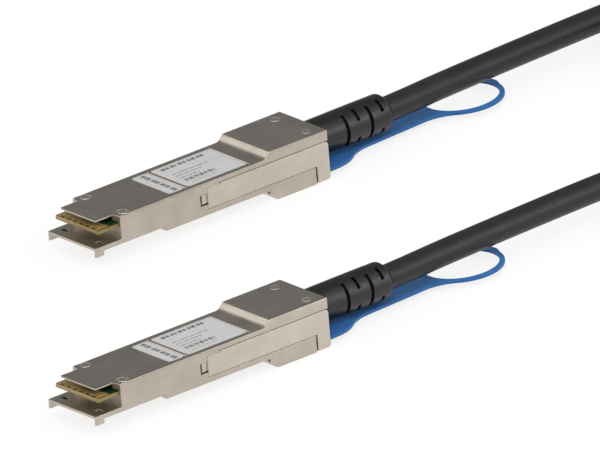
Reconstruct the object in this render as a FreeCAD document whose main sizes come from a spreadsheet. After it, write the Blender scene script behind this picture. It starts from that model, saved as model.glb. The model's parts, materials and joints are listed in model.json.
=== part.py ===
"""Direct attach copper cable: two four-lane plugs with pull-to-release sliders, joined by a round cable.

Each plug is drawn in its own frame: X runs from the nose to the cable, Y across, Z up from the plane that
slides into the cage. The part stands on its plugs' rear undersides, with +X towards the cable.
"""

import FreeCAD, Part
import math
import os
import Sketcher

os.makedirs("parts", exist_ok=True)
doc = FreeCAD.newDocument("attach_cable")
V = FreeCAD.Vector

# Driving dimensions, in millimetres and degrees
SIZES = {
    # module outline
    "module_width": 18.35,
    "module_height": 8.5,
    "underside_drop": 3.0,
    "nose_length": 8.45,
    "nose_plate_top": 2.43,
    "nose_plate_thick": 0.67,
    "nose_flange_thick": 0.6,
    "nose_leg_length": 2.7,
    "recess_height": 1.2,
    "recess_end": 22.7,
    "ramp_top_x": 54.8,
    "ramp_foot_x": 58.2,
    "ramp_foot_radius": 1.2,
    "side_notch_x": 55.4,
    "side_notch_length": 0.7,
    "side_notch_drop": 0.08,
    "side_notch_height": 0.64,
    "side_notch_depth": 0.8,
    "block_end_x": 70.87,
    "rear_x": 75.3,
    "shell_rear_x": 74.9,
    "shell_rear_height": -0.5,
    "nose_hole_length": 1.5,
    "nose_hole_width": 1.9,
    "nose_hole_x": 3.35,
    "nose_hole_inset": 2.675,
    "nose_hole_depth": 0.42,
    # shell inside
    "side_wall": 0.9,
    "rear_side_wall": 1.5,
    "front_wall": 0.95,
    "floor_thick": 0.9,
    "card_bay_end_x": 33.0,
    "wire_bay_end_x": 58.8,
    "ferrule_bay_end_x": 68.0,
    "ferrule_bay_half": 5.5,
    "ferrule_bay_floor": 0.45,
    "card_rail_width": 1.0,
    # top cover
    "cover_thick": 0.4,
    "cover_step_x": 38.8,
    "seam_height": 7.3,
    "tongue_tip_x": 2.45,
    "tongue_inset": 2.375,
    "tongue_root_x": 8.0,
    "tongue_corner": 0.3,
    "ear_slant": 0.6,
    "raise_foot_x": 55.6,
    "raise_top_x": 56.8,
    "raise_break_along": 0.375,
    "raise_break_up": 0.56,
    "raised_height": 10.2,
    "raised_wall": 0.8,
    "cover_inset": 0.08,
    # rivets
    "front_stud_x": 10.9,
    "front_stud_inset": 1.975,
    "front_stud_radius": 1.2,
    "front_recess_radius": 1.6,
    "rear_stud_x": 71.2,
    "rear_stud_inset": 3.175,
    "rear_stud_radius": 0.9,
    "rear_recess_radius": 1.3,
    "stud_recess_depth": 0.22,
    "front_stud_length": 0.7,
    "rear_stud_length": 3.2,
    "gusset_end_x": 12.8,
    "gusset_inset": 3.375,
    "gusset_bottom": 6.6,
    # card
    "card_side_gap": 0.065,
    "card_thick": 1.0,
    "card_top": 6.33,
    "card_tip_x": 1.7,
    "card_end_x": 31.0,
    "card_corner": 0.35,
    "card_bevel": 0.25,
    "pad_pitch": 0.8,
    "pad_width": 0.5,
    "pad_length": 3.6,
    "pad_setback": 0.45,
    "pad_thick": 0.05,
    "pad_count": 19,
    "chip_length": 3.0,
    "chip_width": 2.0,
    "chip_height": 0.6,
    "chip_x": 15.0,
    "chip_y": 3.2,
    "capacitor_length": 1.0,
    "capacitor_width": 0.5,
    "capacitor_height": 0.45,
    "capacitor_gap": 1.2,
    # wires
    "pair_width": 1.55,
    "pair_height": 0.85,
    "pair_margin": 0.625,
    "pair_start_x": 24.0,
    "pair_spread_x": 43.9,
    "pair_spread_share": 0.8,
    "pair_closed_y": 0.87,
    "pair_closed_pitch": 0.95,
    "wire_block_start_x": 26.4,
    "wire_block_length": 7.6,
    "wire_block_inset": 2.375,
    "wire_block_bottom": 3.6,
    "wire_block_headroom": 0.3,
    # cable, ferrule and boot
    "cable_radius": 3.3,
    "cable_height": 4.63,
    "jacket_start_x": 62.5,
    "ferrule_start_x": 60.6,
    "ferrule_length": 7.4,
    "ferrule_wall": 0.45,
    "boot_radius": 4.65,
    "boot_end_x": 100.6,
    "boot_ease": 1.1,
    "boot_collar_radius": 5.1,
    "boot_collar_start_x": 68.2,
    "boot_collar_length": 2.0,
    "boot_slot_x": 85.5,
    "boot_slot_pitch": 3.83,
    "boot_slot_width": 0.8,
    "boot_slot_depth": 0.95,
    "boot_slot_half_angle": 63.0,
    "boot_fit": 0.05,
    # release slider
    "slider_sheet": 0.5,
    "slider_fit": 0.1,
    "slider_front_gap": 0.03,
    "slider_start_x": 36.45,
    "slider_arm_bottom": 1.55,
    "slider_arm_top": 7.2,
    "slider_step_x": 40.7,
    "slider_step": 0.35,
    "slider_hook_x": 71.3,
    "slider_bend": 0.6,
    "slider_corner": 1.0,
    "finger_overlap": 1.0,
    "window_margin": 1.8,
    "slider_travel": 2.0,
    "window_start_x": 34.0,
    "window_bottom": 2.7,
    "window_top": 5.6,
    "window_depth": 1.15,
    "finger_fit": 0.25,
    "finger_gap": 0.9,
    "lug_x": 60.2,
    "lug_reach": 2.75,
    "lug_height": 2.0,
    "spring_radius": 0.95,
    "spring_wire": 0.28,
    "spring_length": 7.9,
    "spring_steps": 8,
    "spring_turns": 5.0,
    "spring_axis_inset": 1.83,
    "spring_height": 4.4,
    "spring_fit": 0.2,
    # pull tab
    "tab_thick": 0.8,
    "tab_height": -1.6,
    "tab_root_thick": 1.6,
    "tab_pivot_x": 73.3,
    "tab_yaw": 3.6,
    "tab_root_inset": 0.925,
    "tab_root_back": 1.6,
    "tab_root_block": 2.1,
    "tab_shoulder": 5.4,
    "tab_neck": 13.6,
    "tab_strip_half": 4.1,
    "tab_loop_centre": 54.6,
    "tab_loop_long": 11.4,
    "tab_loop_half": 10.3,
    "tab_hole_long": 10.45,
    "tab_hole_half": 9.05,
    "tab_loop_fillet": 12.0,
    "tab_rivet_inset": 3.975,
    "tab_rivet_radius": 0.9,
    "tab_rivet_head": 1.5,
    "tab_rivet_head_thick": 0.25,
    # labels
    "label_thick": 0.08,
    "large_label_x": 31.9,
    "large_label_length": 19.0,
    "small_label_x": 25.8,
    "small_label_length": 4.9,
    "label_inset": 1.775,
    "label_corner": 0.5,
    "label_recess": 0.1,
    "label_margin": 0.35,
    # the two plugs and the coil
    "plug_spacing_x": 70.0,
    "plug_spacing_y": 84.0,
    "coil_x": 212.0,
    "coil_y": -34.5,
    "coil_mean_radius": 33.0,
    "turn_gap": 6.7,
    "coil_lead": 24.0,
    "floor_gap": 0.03,
    "cutter_reach": 45.0,
}

# Sizes that follow from those above
DERIVED = {
    "card_width": "module_width - 2 * (side_wall + card_side_gap)",
    "tongue_half": "module_width / 2 - tongue_inset",
    "gusset_half": "module_width / 2 - gusset_inset",
    "front_stud_y": "module_width / 2 - front_stud_inset",
    "rear_stud_y": "module_width / 2 - rear_stud_inset",
    "nose_hole_y": "module_width / 2 - nose_hole_inset",
    "label_half": "module_width / 2 - label_inset",
    "wire_block_half": "module_width / 2 - wire_block_inset",
    "wire_block_top": "module_height - cover_thick - wire_block_headroom",
    "pair_pitch": "(2 * wire_block_half - 2 * pair_margin - pair_width) / 3",
    "tab_root_half": "module_width / 2 - tab_root_inset",
    "tab_rivet_y": "module_width / 2 - tab_rivet_inset",
}

sheet = doc.addObject("Spreadsheet::Sheet", "sizes")
cells = [(name, str(value)) for name, value in SIZES.items()]
cells += [(name, "=" + formula) for name, formula in DERIVED.items()]
for row, (name, content) in enumerate(cells, start=1):
    sheet.set("A%d" % row, content)
    sheet.setAlias("A%d" % row, name)
doc.recompute()


def size(name):
    """The value of a named cell of the sheet."""
    return float(sheet.get(name))


def cell(formula):
    """A formula of named cells, with each name turned into a reference to the sheet."""
    words = formula.replace("(", "( ").replace(")", " )").split()
    return " ".join("sizes." + word if word in SIZES or word in DERIVED else word for word in words)


def bind(item, **formulas):
    """Binds an object's properties to formulas of named cells; a double underscore stands for a dot."""
    for prop, formula in formulas.items():
        item.setExpression(prop.replace("__", "."), cell(formula))
    return item


PLANES = {
    "side": (FreeCAD.Rotation(V(1, 0, 0), 90), V(0, -1, 0), "y"),
    "top": (FreeCAD.Rotation(), V(0, 0, 1), "z"),
}
ALONG_X = FreeCAD.Rotation(V(0, 1, 0), V(0, 0, 1), V(1, 0, 0), "ZXY")


def outline(name, plane, corners, start="0"):
    """A closed sketch of straight lines, each corner held by two formulas of named cells."""
    turn, _, along = PLANES[plane]
    sketch = doc.addObject("Sketcher::SketchObject", name)
    sketch.Placement = FreeCAD.Placement(V(), turn)
    count = len(corners)
    angles = [2 * math.pi * i / count for i in range(count)]
    seeds = [V(20 * math.cos(angle), 20 * math.sin(angle), 0) for angle in angles]
    for i in range(count):
        sketch.addGeometry(Part.LineSegment(seeds[i], seeds[(i + 1) % count]), False)
    for i in range(count):
        sketch.addConstraint(Sketcher.Constraint("Coincident", i, 2, (i + 1) % count, 1))
    for i, corner in enumerate(corners):
        for kind, formula, seed in zip(("DistanceX", "DistanceY"), corner, (seeds[i].x, seeds[i].y)):
            index = sketch.addConstraint(Sketcher.Constraint(kind, -1, 1, i, 1, seed))
            sketch.setExpression("Constraints[%d]" % index, cell(formula))
    sketch.setExpression("Placement.Base." + along, cell(start))
    return sketch


def prism(name, plane, corners, length, start="0", symmetric=False):
    """A straight extrusion of an outline, away from its plane or to both sides of it."""
    solid = doc.addObject("Part::Extrusion", name)
    solid.Base = outline(name + "_outline", plane, corners, start)
    solid.DirMode = "Custom"
    solid.Dir = PLANES[plane][1]
    solid.Solid = True
    solid.Symmetric = symmetric
    return bind(solid, LengthFwd=length)


def block(name, x, y, z, x_size, y_size, z_size):
    """A box from its low corner and its three sizes."""
    box = doc.addObject("Part::Box", name)
    bind(box, Length=x_size, Width=y_size, Height=z_size)
    return bind(box, Placement__Base__x=x, Placement__Base__y=y, Placement__Base__z=z)


def rod(name, x, y, z, radius, length, axis=(1, 0, 0)):
    """A round bar from the centre of its first end."""
    bar = doc.addObject("Part::Cylinder", name)
    bar.Placement.Rotation = FreeCAD.Rotation(V(0, 0, 1), V(*axis))
    bind(bar, Radius=radius, Height=length)
    return bind(bar, Placement__Base__x=x, Placement__Base__y=y, Placement__Base__z=z)


def fuse(name, shapes):
    """One solid of several that meet."""
    joined = doc.addObject("Part::MultiFuse", name)
    joined.Shapes = shapes
    joined.Refine = True
    return joined


def cut(name, base, tools):
    """A solid with one or more others taken out of it."""
    result = doc.addObject("Part::Cut", name)
    result.Base = base
    result.Tool = tools[0] if len(tools) == 1 else fuse(name + "_tools", tools)
    result.Refine = True
    return result


def common(name, shapes):
    """What several solids share."""
    shared = doc.addObject("Part::MultiCommon", name)
    shared.Shapes = shapes
    shared.Refine = True
    return shared


def edged(kind, name, base, width, wanted):
    """Rounds or chamfers the edges for which the middle of the edge's box passes a test."""
    doc.recompute()
    finished = doc.addObject("Part::" + kind, name)
    finished.Base = base
    chosen = [i for i, edge in enumerate(base.Shape.Edges, start=1) if wanted(edge.BoundBox.Center)]
    if not chosen:
        raise RuntimeError("no edge to finish on " + name)
    finished.Edges = [(i, size(width), size(width)) for i in chosen]
    return finished


def near(value, target, slack=0.02):
    """True where two lengths agree."""
    return abs(value - target) < slack


def middle_block(name, x, z, x_end, z_end, width, y="0"):
    """A box of a width about a lengthwise plane, between two corners seen from the side."""
    low_y = "%s - ( %s ) / 2" % (y, width)
    return block(name, x, low_y, z, "%s - ( %s )" % (x_end, x), width, "%s - ( %s )" % (z_end, z))


def side_block(name, side, x, z, x_end, z_end, inner, outer="module_width"):
    """A box on one side of the plug, between two distances from the middle plane."""
    low_y = inner if side > 0 else "-1 * ( %s )" % outer
    width = "%s - ( %s )" % (outer, inner)
    return block(name, x, low_y, z, "%s - ( %s )" % (x_end, x), width, "%s - ( %s )" % (z_end, z))


def gathered(name, pieces):
    """Several pieces under one name, or one piece to be placed."""
    group = doc.addObject("Part::Compound", name)
    group.Links = pieces
    return group


def made(name, solids):
    """A piece of solids that are built straight from the sheet's values."""
    piece = doc.addObject("Part::Feature", name)
    piece.Shape = solids[0] if len(solids) == 1 else Part.makeCompound(solids)
    return piece


# Formulas that several pieces share
HALF = "module_width / 2"
CARD_BOTTOM = "( card_top - card_thick )"
COVER_UNDERSIDE = "( module_height - cover_thick )"
ARM_INNER = "( module_width / 2 - slider_sheet )"
CHANNEL_INNER = "( module_width / 2 - slider_sheet - slider_fit )"
SPRING_END = "lug_x + slider_sheet + spring_length"
FAR = "cutter_reach"

UP = (0, 0, 1)
SIDES = ((-1, "near"), (1, "far"))
STUD_ENDS = (("front", "module_height"), ("rear", "raised_height"))
LABELS = ("large", "small")


def bottom_shell():
    """The die-cast lower half: nose plate, recess, deep rear, card rails, bays and side channels."""
    body = prism(
        "shell_body",
        "side",
        [
            ("0", "0"),
            ("nose_leg_length", "0"),
            ("nose_leg_length", "recess_height"),
            ("recess_end", "recess_height"),
            ("recess_end", "0"),
            ("ramp_top_x", "0"),
            ("ramp_foot_x", "-1 * underside_drop"),
            ("block_end_x", "-1 * underside_drop"),
            ("block_end_x", "shell_rear_height"),
            ("shell_rear_x", "shell_rear_height"),
            ("shell_rear_x", "seam_height"),
            ("cover_step_x", "seam_height"),
            ("cover_step_x", COVER_UNDERSIDE),
            ("nose_length", COVER_UNDERSIDE),
            ("nose_length", "nose_plate_top"),
            ("0", "nose_plate_top"),
        ],
        "module_width",
        symmetric=True,
    )
    eased = edged(
        "Fillet", "shell_ramp_eased", body, "ramp_foot_radius",
        lambda m: near(m.x, size("ramp_foot_x")) and near(m.z, -size("underside_drop")),
    )
    card_side = "module_width - 2 * side_wall"
    rail_side = "module_width - 2 * ( side_wall + card_rail_width )"
    wire_side = "module_width - 2 * rear_side_wall"
    pockets = [
        middle_block("under_nose", "0", "0", "nose_length", "nose_plate_top - nose_plate_thick",
                     "module_width - 2 * nose_flange_thick"),
        middle_block("card_slot", "nose_length", CARD_BOTTOM, "card_bay_end_x", "gusset_bottom", card_side),
        middle_block("front_mouth", "nose_length", CARD_BOTTOM, "gusset_end_x", FAR, "2 * gusset_half"),
        middle_block("card_bay", "gusset_end_x", CARD_BOTTOM, "card_bay_end_x", FAR, card_side),
        middle_block("under_card", "nose_length + front_wall", "recess_height + floor_thick",
                     "card_bay_end_x", FAR, rail_side),
        middle_block("wire_bay", "card_bay_end_x", "floor_thick", "wire_bay_end_x", FAR, wire_side),
        middle_block("ferrule_bay", "wire_bay_end_x", "ferrule_bay_floor", "ferrule_bay_end_x", FAR,
                     "2 * ferrule_bay_half"),
    ]
    for side, word in SIDES:
        pockets += [
            middle_block("nose_hole_" + word, "nose_hole_x - nose_hole_length / 2",
                         "nose_plate_top - nose_hole_depth", "nose_hole_x + nose_hole_length / 2", FAR,
                         "nose_hole_width", "%d * nose_hole_y" % side),
            side_block("low_channel_" + word, side, "slider_start_x - slider_front_gap",
                       "slider_arm_bottom - slider_fit", "slider_step_x",
                       "slider_arm_top - slider_step + slider_front_gap", CHANNEL_INNER),
            side_block("arm_channel_" + word, side, "slider_step_x - slider_step - slider_front_gap",
                       "slider_arm_bottom - slider_fit", "rear_x + 1", "seam_height", CHANNEL_INNER),
            side_block("hook_room_" + word, side, "block_end_x", "-1 * underside_drop", "rear_x + 1",
                       "seam_height", CHANNEL_INNER),
            side_block("window_" + word, side, "window_start_x", "window_bottom",
                       "slider_start_x + slider_travel + window_margin", "window_top",
                       HALF + " - window_depth"),
            side_block("spring_trough_" + word, side, "lug_x - spring_fit",
                       "spring_height - lug_height / 2 - spring_fit", SPRING_END,
                       "spring_height + lug_height / 2 + spring_fit", HALF + " - lug_reach - spring_fit"),
            side_block("side_notch_" + word, side, "side_notch_x",
                       "-1 * side_notch_drop - side_notch_height",
                       "side_notch_x + side_notch_length", "-1 * side_notch_drop",
                       HALF + " - side_notch_depth"),
        ]
    return fuse("bottom_shell", [cut("shell_cast", eased, pockets + boot_seat("shell"))] + studs("stud"))


def boot_seat(owner):
    """The round hole for the boot and the groove for its collar, to take out of either half."""
    return [
        rod(owner + "_boot_hole", "ferrule_bay_end_x - 1", "0", "cable_height", "boot_radius + boot_fit",
            FAR),
        rod(owner + "_collar_groove", "boot_collar_start_x - boot_fit", "0", "cable_height",
            "boot_collar_radius + boot_fit", "boot_collar_length + 2 * boot_fit"),
    ]


def studs(owner):
    """Four studs cast on the lower half and peened over in the cover, a front pair and a rear pair."""
    pins = []
    for side, word in SIDES:
        for end, top in STUD_ENDS:
            pins.append(
                rod("%s_%s_%s" % (owner, end, word), end + "_stud_x", "%d * %s_stud_y" % (side, end),
                    "%s - stud_recess_depth - %s_stud_length" % (top, end), end + "_stud_radius",
                    end + "_stud_length", UP)
            )
    return pins


def top_cover():
    """The die-cast upper half: thin tongue over the card, label recesses and the raised rear."""
    body = prism(
        "cover_body",
        "side",
        [
            ("tongue_tip_x", COVER_UNDERSIDE),
            ("cover_step_x", COVER_UNDERSIDE),
            ("cover_step_x", "seam_height"),
            ("rear_x", "seam_height"),
            ("rear_x", "raised_height"),
            ("raise_top_x", "raised_height"),
            ("raise_foot_x + raise_break_along * ( raise_top_x - raise_foot_x )",
             "module_height + raise_break_up * ( raised_height - module_height )"),
            ("raise_foot_x", "module_height"),
            ("tongue_tip_x", "module_height"),
        ],
        "module_width - 2 * cover_inset",
        symmetric=True,
    )
    wire_side = "module_width - 2 * rear_side_wall"
    tools = [
        middle_block("low_room", "cover_step_x + raised_wall", "0", "raise_top_x + raised_wall",
                     COVER_UNDERSIDE, wire_side),
        middle_block("high_room", "raise_top_x + raised_wall", "0", "ferrule_bay_end_x",
                     "raised_height - raised_wall", wire_side),
    ]
    for word in LABELS:
        tools.append(
            middle_block(word + "_label_recess", word + "_label_x - label_margin",
                         "module_height - label_recess",
                         "%s_label_x + %s_label_length + label_margin" % (word, word), FAR,
                         "2 * ( label_half + label_margin )")
        )
    for side, word in SIDES:
        tools.append(
            prism(
                "beside_tongue_" + word,
                "top",
                [
                    ("0", "%d * ( tongue_half - tongue_corner )" % side),
                    ("tongue_tip_x", "%d * ( tongue_half - tongue_corner )" % side),
                    ("tongue_tip_x + tongue_corner", "%d * tongue_half" % side),
                    ("tongue_root_x", "%d * tongue_half" % side),
                    ("tongue_root_x + ear_slant", "%d * ( module_width / 2 + ear_slant )" % side),
                    ("0", "%d * ( module_width / 2 + ear_slant )" % side),
                ],
                FAR,
            )
        )
        for end, top in STUD_ENDS:
            tools.append(
                rod("%s_dimple_%s" % (end, word), end + "_stud_x", "%d * %s_stud_y" % (side, end),
                    top + " - stud_recess_depth", end + "_recess_radius", "1", UP)
            )
    return cut("top_cover", body, tools + boot_seat("cover") + studs("cover_stud_hole"))


def paddle_card():
    """The circuit board, its front edge bevelled and its front corners cut."""
    section = prism(
        "card_section",
        "side",
        [
            ("card_tip_x", CARD_BOTTOM + " + card_bevel"),
            ("card_tip_x + card_bevel", CARD_BOTTOM),
            ("card_end_x", CARD_BOTTOM),
            ("card_end_x", "card_top"),
            ("card_tip_x + card_bevel", "card_top"),
            ("card_tip_x", "card_top - card_bevel"),
        ],
        "card_width",
        symmetric=True,
    )
    plan = prism(
        "card_plan",
        "top",
        [
            ("card_tip_x", "card_corner - card_width / 2"),
            ("card_tip_x + card_corner", "-1 * card_width / 2"),
            ("card_end_x", "-1 * card_width / 2"),
            ("card_end_x", "card_width / 2"),
            ("card_tip_x + card_corner", "card_width / 2"),
            ("card_tip_x", "card_width / 2 - card_corner"),
        ],
        FAR,
    )
    return common("paddle_card", [section, plan])


def contact_pads():
    """The gold fingers, one row on each face of the card."""
    count = int(size("pad_count"))
    pads = []
    for height in (size("card_top"), size("card_top") - size("card_thick") - size("pad_thick")):
        for i in range(count):
            middle = (i - (count - 1) / 2) * size("pad_pitch")
            corner = V(size("card_tip_x") + size("pad_setback"), middle - size("pad_width") / 2, height)
            pads.append(Part.makeBox(size("pad_length"), size("pad_width"), size("pad_thick"), corner))
    return made("contact_pads", pads)


def memory_chip():
    """The small chip that tells the host what is plugged in."""
    return block("memory_chip", "chip_x", "chip_y", "card_top", "chip_length", "chip_width", "chip_height")


def chip_capacitors():
    """Three chip capacitors in a row beside the chip."""
    y = size("chip_y") - 2 * size("capacitor_gap")
    lengths = size("capacitor_length"), size("capacitor_width"), size("capacitor_height")
    corners = [V(size("chip_x") + i * size("capacitor_gap"), y, size("card_top")) for i in range(3)]
    return made("chip_capacitors", [Part.makeBox(*lengths, corner) for corner in corners])


def pair_solid(stations):
    """One shielded pair: the same flat section carried along straight legs from station to station."""
    side, top = size("pair_width") / 2, size("pair_height") / 2
    corner = side - top
    ring = [(side, 0), (corner, top), (-corner, top), (-side, 0), (-corner, -top), (corner, -top)]
    legs = []
    for start, end in zip(stations, stations[1:]):
        section = Part.makePolygon([start + V(0, y, z) for y, z in ring + ring[:1]])
        legs.append(Part.Face(section).extrude(end - start))
    return legs[0].fuse(legs[1:]).removeSplitter()


def pair_solids():
    """Eight shielded pairs, four on each face of the card, that spread in height and then close up."""
    solids = []
    half_height = size("pair_height") / 2
    block_end = size("wire_block_start_x") + size("wire_block_length")
    under = size("card_top") - size("card_thick")
    starts = ((1, size("card_top") + half_height), (-1, under - half_height))
    for face, start_z in starts:
        for column in (-1, 1):
            for level in (0.5, 1.5):
                start_y = column * level * size("pair_pitch")
                end_y = column * size("pair_closed_y")
                end_z = size("cable_height") + face * level * size("pair_closed_pitch")
                solids.append(
                    pair_solid(
                        [
                            V(size("pair_start_x"), start_y, start_z),
                            V(block_end, start_y, start_z),
                            V(size("pair_spread_x"), start_y * size("pair_spread_share"), end_z),
                            V(size("jacket_start_x"), end_y, end_z),
                        ]
                    )
                )
    return solids


def twinax_pairs():
    """The shielded pairs as one group."""
    return made("twinax_pairs", pair_solids())


def wire_block():
    """The moulded block that grips the pairs where they are soldered to the card."""
    whole = middle_block(
        "wire_block_whole", "wire_block_start_x", "wire_block_bottom",
        "wire_block_start_x + wire_block_length", "wire_block_top", "2 * wire_block_half",
    )
    card_gap = middle_block("wire_block_card_gap", "card_tip_x", CARD_BOTTOM, "card_end_x", "card_top",
                            "card_width")
    return cut("wire_block", whole, [card_gap, made("wire_block_pair_gaps", pair_solids())])


def crimp_ferrule():
    """The sleeve crimped over the braid, hexagonal as its tool leaves it."""
    sleeve = doc.addObject("Part::Prism", "ferrule_sleeve")
    sleeve.Polygon = 6
    sleeve.Placement.Rotation = ALONG_X
    bind(sleeve, Circumradius="2 * ( cable_radius + ferrule_wall ) / sqrt( 3 )", Height="ferrule_length",
         Placement__Base__x="ferrule_start_x", Placement__Base__z="cable_height")
    bore = rod("ferrule_bore", "ferrule_start_x - 1", "0", "cable_height", "cable_radius",
               "ferrule_length + 2")
    return cut("crimp_ferrule", sleeve, [bore])


def jacket_end():
    """The end of the cable, inside the shell and the boot."""
    return rod("jacket_end", "jacket_start_x", "0", "cable_height", "cable_radius",
               "boot_end_x - jacket_start_x")


def strain_boot():
    """The round boot: a collar in the shell, then four rings of two slots, each a quarter turn on."""
    sleeve = rod("boot_sleeve", "boot_collar_start_x", "0", "cable_height", "boot_radius",
                 "boot_end_x - boot_collar_start_x")
    eased = edged("Chamfer", "boot_end_eased", sleeve, "boot_ease", lambda m: near(m.x, size("boot_end_x")))
    collar = rod("boot_collar", "boot_collar_start_x", "0", "cable_height", "boot_collar_radius",
                 "boot_collar_length")
    bore = rod("boot_bore", "boot_collar_start_x - 1", "0", "cable_height", "cable_radius", FAR)
    wedges = []
    for i in range(4):
        for k in range(2):
            wedge = doc.addObject("Part::Cylinder", "boot_wedge_%d_%d" % (i, k))
            middle = FreeCAD.Rotation(V(1, 0, 0), 90 * (i % 2) + 180 * k - size("boot_slot_half_angle"))
            wedge.Placement.Rotation = middle * ALONG_X
            bind(
                wedge,
                Radius="boot_radius + 1",
                Height="boot_slot_width",
                Angle="2 * boot_slot_half_angle",
                Placement__Base__x="boot_slot_x - boot_slot_width / 2 + %d * boot_slot_pitch" % i,
                Placement__Base__z="cable_height",
            )
            wedges.append(wedge)
    core = rod("boot_core", "boot_slot_x - boot_slot_pitch", "0", "cable_height",
               "boot_radius - boot_slot_depth", "5 * boot_slot_pitch")
    slots = cut("boot_slots", fuse("boot_wedges", wedges), [core])
    return cut("strain_boot", fuse("boot_outside", [eased, collar]), [bore, slots])


def release_slider():
    """The stamped channel: side arms, rear hooks, bridge underneath, window fingers and spring lugs."""
    outer = middle_block("slider_outer", "slider_start_x", "-1 * underside_drop", "rear_x",
                         "slider_arm_top", "module_width")
    inner = middle_block("slider_inner", "slider_start_x", "slider_sheet - underside_drop", "rear_x", FAR,
                         "2 * " + ARM_INNER)
    channel = cut("slider_channel", outer, [inner])
    floor_z, arm_y = -size("underside_drop"), size("module_width") / 2
    bent = edged(
        "Fillet", "slider_bent", channel, "slider_bend",
        lambda m: near(m.z, floor_z) and near(abs(m.y), arm_y),
    )
    silhouette = prism(
        "slider_side",
        "side",
        [
            ("slider_start_x", "slider_arm_bottom"),
            ("slider_hook_x", "slider_arm_bottom"),
            ("slider_hook_x", "-1 * underside_drop"),
            ("rear_x", "-1 * underside_drop"),
            ("rear_x", "slider_arm_top"),
            ("slider_step_x", "slider_arm_top"),
            ("slider_step_x - slider_step", "slider_arm_top - slider_step"),
            ("slider_start_x", "slider_arm_top - slider_step"),
        ],
        "module_width + 2",
        symmetric=True,
    )
    middle_z = (floor_z + size("slider_arm_top")) / 2
    cornered = edged(
        "Fillet", "slider_cornered", silhouette, "slider_corner",
        lambda m: near(m.x, size("rear_x")) and near(m.y, 0) and not near(m.z, middle_z),
    )
    pieces = [common("slider_sheet_metal", [bent, cornered])]
    for side, word in SIDES:
        pieces += [
            side_block("window_finger_" + word, side, "window_start_x + finger_gap",
                       "window_bottom + finger_fit", "slider_start_x + finger_overlap",
                       "window_top - finger_fit",
                       HALF + " - window_depth + slider_fit", ARM_INNER),
            side_block("spring_lug_" + word, side, "lug_x", "spring_height - lug_height / 2",
                       "lug_x + slider_sheet", "spring_height + lug_height / 2", HALF + " - lug_reach",
                       ARM_INNER + " + slider_sheet / 2"),
        ]
    holes = [
        rod("bridge_hole_" + word, "tab_pivot_x", "%d * tab_rivet_y" % side, "-1 * underside_drop - 1",
            "tab_rivet_radius", "slider_sheet + 2", UP)
        for side, word in SIDES
    ]
    return cut("release_slider", fuse("slider_whole", pieces), holes)


def return_springs():
    """Two coil springs in the side troughs, each between a lug of the slider and the end of its trough."""
    half = size("spring_wire") / 2
    radius, length = size("spring_radius") - half, size("spring_length") - 2 * half
    steps = int(size("spring_turns") * size("spring_steps"))
    angles = [2 * math.pi * i / size("spring_steps") for i in range(steps + 1)]
    axis = size("module_width") / 2 - size("spring_axis_inset")
    springs = []
    for side, _ in SIDES:
        start = V(size("lug_x") + size("slider_sheet") + half, side * axis, size("spring_height"))
        line = Part.makePolygon([
            start + V(length * i / steps, radius * math.cos(a), radius * math.sin(a))
            for i, a in enumerate(angles)
        ])
        seat = line.Vertexes[0].Point
        corners = ((-half, -half), (half, -half), (half, half), (-half, half))
        section = [seat + V(x, y, 0) for x, y in corners]
        springs.append(line.makePipeShell([Part.makePolygon(section + section[:1])], True, True, 1))
    return made("return_springs", springs)


def strap_face():
    """The strap's face from above, from behind its rivets to the middle of the finger loop."""
    root, neck = size("tab_root_half"), size("tab_strip_half")
    start, run = size("tab_shoulder"), size("tab_neck") / 2
    drop = (root - neck) / 2
    bend = (run * run + drop * drop) / (2 * drop)
    lean = math.asin(run / bend) / 2
    over, fall = bend * math.sin(lean), bend * (1 - math.cos(lean))
    back, end = -size("tab_root_back"), size("tab_loop_centre")
    edges = [
        Part.makeLine(V(back, -root, 0), V(back, root, 0)),
        Part.makeLine(V(end, -neck, 0), V(end, neck, 0)),
    ]
    for side, _ in SIDES:
        shoulder = V(start, side * root, 0)
        waist = V(start + run, side * (root - drop), 0)
        strip = V(start + 2 * run, side * neck, 0)
        edges += [
            Part.makeLine(V(back, side * root, 0), shoulder),
            Part.Arc(shoulder, V(start + over, side * (root - fall), 0), waist).toShape(),
            Part.Arc(waist, V(start + 2 * run - over, side * (neck + fall), 0), strip).toShape(),
            Part.makeLine(strip, V(end, side * neck, 0)),
        ]
    return Part.Face(Part.Wire(Part.__sortEdges__(edges)))


def oval_face(half_long, half_wide):
    """An oval face about the middle of the finger loop."""
    centre = V(size("tab_loop_centre"), 0, 0)
    oval = Part.Ellipse(centre + V(half_long, 0, 0), centre + V(0, half_wide, 0), centre)
    return Part.Face(Part.Wire([oval.toShape()]))


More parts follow.
